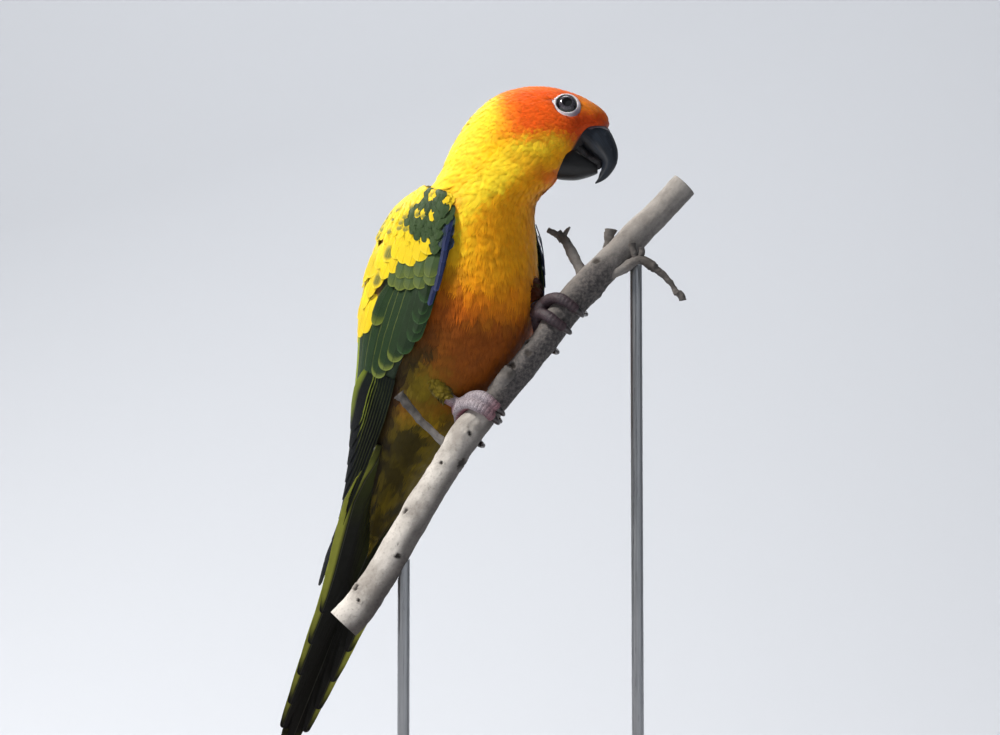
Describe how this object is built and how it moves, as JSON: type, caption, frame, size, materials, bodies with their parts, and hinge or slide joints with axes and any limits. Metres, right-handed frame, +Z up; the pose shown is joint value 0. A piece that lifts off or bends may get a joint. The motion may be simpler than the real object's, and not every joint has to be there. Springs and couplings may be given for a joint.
{
  "type": "sun conure",
  "caption": "Life-size still model of a yellow and orange parrot with green wings, gripping a cut length of branch on a plain rod stand.",
  "frame": {"origin": "centre of the stand base's underside", "axes": "+Z up; the bird's head looks towards +X and its body is turned about halfway from +X to -Y; the branch rises towards +X"},
  "size_m": [0.17, 0.14, 0.2643],
  "materials": {
    "plumage": "soft overlapping body feathers, yellow to orange red",
    "wing_feather": "smooth vanes, yellow, green and blue black",
    "tail_feather": "smooth long vanes, olive green",
    "bill_horn": "dark horn with a low sheen",
    "bare_skin": "bare pale skin with fine wrinkles",
    "eye": "wet, polished",
    "foot_scale": "dry scales",
    "claw_horn": "dark horn",
    "bark": "weathered bare bark",
    "plinth": "satin oiled",
    "rod": "brushed"
  },
  "bodies": {
    "root": {"torso": "plumage", "neck": "plumage", "head": "plumage", "bill_upper": "bill_horn", "bill_lower": "bill_horn", "cere": "bare_skin", "eye_left": "eye", "eye_right": "eye", "eye_ring_left": "bare_skin", "eye_ring_right": "bare_skin", "wing_left": "wing_feather", "wing_right": "wing_feather", "tail": "tail_feather", "leg_left": "plumage", "leg_right": "plumage", "foot_left": "foot_scale", "foot_right": "foot_scale", "claw_left_front_outer": "claw_horn", "claw_left_front_inner": "claw_horn", "claw_left_hind_outer": "claw_horn", "claw_left_hind_inner": "claw_horn", "claw_right_front_outer": "claw_horn", "claw_right_front_inner": "claw_horn", "claw_right_hind_outer": "claw_horn", "claw_right_hind_inner": "claw_horn", "perch": "bark", "stand_base": "plinth", "stand_rod_lower": "rod", "stand_rod_upper": "rod"}
  },
  "joints": []
}
